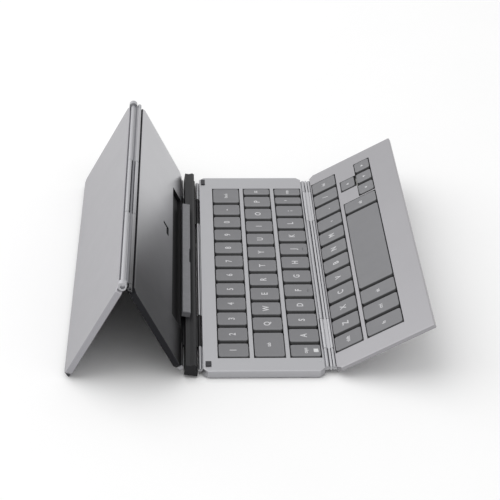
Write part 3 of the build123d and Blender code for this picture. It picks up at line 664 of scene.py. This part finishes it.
for node_name, words in key_rows.items():
    panel = key_panel(node_name)
    caps = bmesh.new()
    # each corner of a cap carries its share of the painted shade on the sides
    caps.verts.layers.float.new("skirt")
    marks = bmesh.new()
    for (low, high), word in zip(islands(node_name, panel), words):
        add_key_cap(caps, low, high)
        middle = ((low.x + high.x) / 2, (low.y + high.y) / 2)
        if word:
            add_raised(marks, lettering(word), middle, high.z - dish + ink_height)
        if word in home_keys:
            add_home_bar(caps, high, middle[1])
    panel.put(caps)
    piece = finished_piece(node_name + "_caps", caps, finishes["key"], node_name)
    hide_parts(node_name)
    if marks.verts:
        panel.put(marks)
        finished_piece(node_name + "_lettering", marks, ink, node_name)
    else:
        marks.free()

# ---------------------------------------------------------------- screws with cross recesses
head_radius = 1.2
head_height = 0.45
head_bevel = 0.08
recess_reach = 0.75
recess_half = 0.17
recess_depth = 0.28
shank_radius = 0.6
tip_length = 0.2
tip_share = 0.6             # the tip's radius, as a share of the shank's
round_steps = 28
screw_sharp = 30            # degrees


def circle(radius):
    angles = [2 * pi * step / round_steps for step in range(round_steps)]
    return [(radius * cos(angle), radius * sin(angle)) for angle in angles]


def cross_outline():
    """A cross as twelve points: three to each quarter, turned four times."""
    points = []
    corner = [(recess_reach, recess_half), (recess_half, recess_half), (recess_half, recess_reach)]
    for quarter in range(4):
        points += corner
        corner = [(-y, x) for x, y in corner]
    return points


def add_screw(work, x, y, foot, tip):
    """A countersunk screw driven in from below, its head flush with the cover."""
    def placed(points):
        return [(x + px, y + py) for px, py in points]

    rim = ring(work, placed(circle(head_radius - head_bevel)), foot)
    edge = ring(work, placed(circle(head_radius)), foot + head_bevel)
    top = ring(work, placed(circle(head_radius)), foot + head_height)
    neck = ring(work, placed(circle(shank_radius)), foot + head_height)
    end = ring(work, placed(circle(shank_radius)), tip - tip_length)
    point = ring(work, placed(circle(shank_radius * tip_share)), tip)
    for lower, upper in ((rim, edge), (edge, top), (top, neck), (neck, end), (end, point)):
        skin(work, lower, upper)
    work.faces.new(point)
    mouth = ring(work, placed(cross_outline()), foot)
    floor = ring(work, placed(cross_outline()), foot + recess_depth)
    skin(work, mouth, floor)
    border = rim + mouth
    for corners in tessellate_polygon([[vertex.co for vertex in rim], [vertex.co for vertex in mouth]]):
        work.faces.new([border[corner] for corner in corners])
    for corners in tessellate_polygon([[vertex.co for vertex in floor]]):
        work.faces.new([floor[corner] for corner in corners])


for node_name in ("main_screws", "front_screws", "stand_screws"):
    body = body_of_node[node_name]
    panel = panel_of_body[body]
    work = bmesh.new()
    for low, high in islands(node_name, panel):
        add_screw(work, (low.x + high.x) / 2, (low.y + high.y) / 2, low.z, high.z)
    panel.put(work)
    piece = finished_piece(node_name + "_cross_head", work, finishes["screw"], body, screw_sharp)
    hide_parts(node_name)

# ---------------------------------------------------------------- floor, light and camera
floor_half = 4.0
floor_cells = 8
lighting_strength = 0.66    # of the world, on the object
seen_strength = 1.0         # and where it is seen, straight or in a reflection

floor_work = bmesh.new()
bmesh.ops.create_grid(floor_work, x_segments=floor_cells, y_segments=floor_cells, size=floor_half)
floor_mesh = bpy.data.meshes.new("floor")
floor_work.to_mesh(floor_mesh)
floor_work.free()
floor = bpy.data.objects.new("floor", floor_mesh)
bpy.context.scene.collection.objects.link(floor)
floor_finish = Finish("pale_floor")
paper = floor_finish.mixed(tone(250), tone(252), floor_finish.noise(scale=14))
floor_mesh.materials.append(floor_finish.surface(base_color=paper, roughness=0.9, specular_ior_level=0.1))

world = bpy.data.worlds.new("studio")
bpy.context.scene.world = world
sky = Shading(world)
seen_straight = sky.node("ShaderNodeLightPath", output="Is Camera Ray")
seen_in_gloss = sky.node("ShaderNodeLightPath", output="Is Glossy Ray")
seen = seen_straight.at_least(seen_in_gloss)
strength = lighting_strength + seen * (seen_strength - lighting_strength)
background = sky.node("ShaderNodeBackground", {}, {"Color": tone(255), "Strength": strength})
sky.node("ShaderNodeOutputWorld", {}, {"Surface": background})


def soft_lamp(name, place, size, power):
    """A square lamp that faces the middle of the object."""
    middle = Vector((0, 0, 0.02))
    data = bpy.data.lights.new(name, "AREA")
    data.shape = "SQUARE"
    data.size = size
    data.energy = power
    lamp = bpy.data.objects.new(name, data)
    lamp.location = place
    lamp.rotation_euler = (middle - Vector(place)).to_track_quat("-Z", "Y").to_euler()
    bpy.context.scene.collection.objects.link(lamp)


soft_lamp("key_light", place=(-0.9, 0.35, 1.3), size=2.4, power=19.0)
soft_lamp("fill_light", place=(1.0, -1.1, 1.0), size=2.0, power=3.5)

# The camera stands where the photograph was taken from.
look_down = radians(30.0)
look_turn = radians(2.640)
camera_roll = radians(1.143)
camera_place = Vector((deck_low.x - 0.00877, -0.7838, 0.4672))
forward = Vector((sin(look_turn) * cos(look_down), cos(look_turn) * cos(look_down), -sin(look_down)))
level_right = Vector((cos(look_turn), -sin(look_turn), 0))
level_up = level_right.cross(forward)
right = cos(camera_roll) * level_right + sin(camera_roll) * level_up
up = cos(camera_roll) * level_up - sin(camera_roll) * level_right
camera_data = bpy.data.cameras.new("camera")
camera_data.sensor_width = 36.0
camera_data.lens = 117.5
camera = bpy.data.objects.new("camera", camera_data)
axes = Matrix((right, up, -forward)).transposed().to_4x4()
camera.matrix_world = Matrix.Translation(camera_place) @ axes
bpy.context.scene.collection.objects.link(camera)
bpy.context.scene.camera = camera
bpy.context.scene.view_settings.view_transform = "Standard"
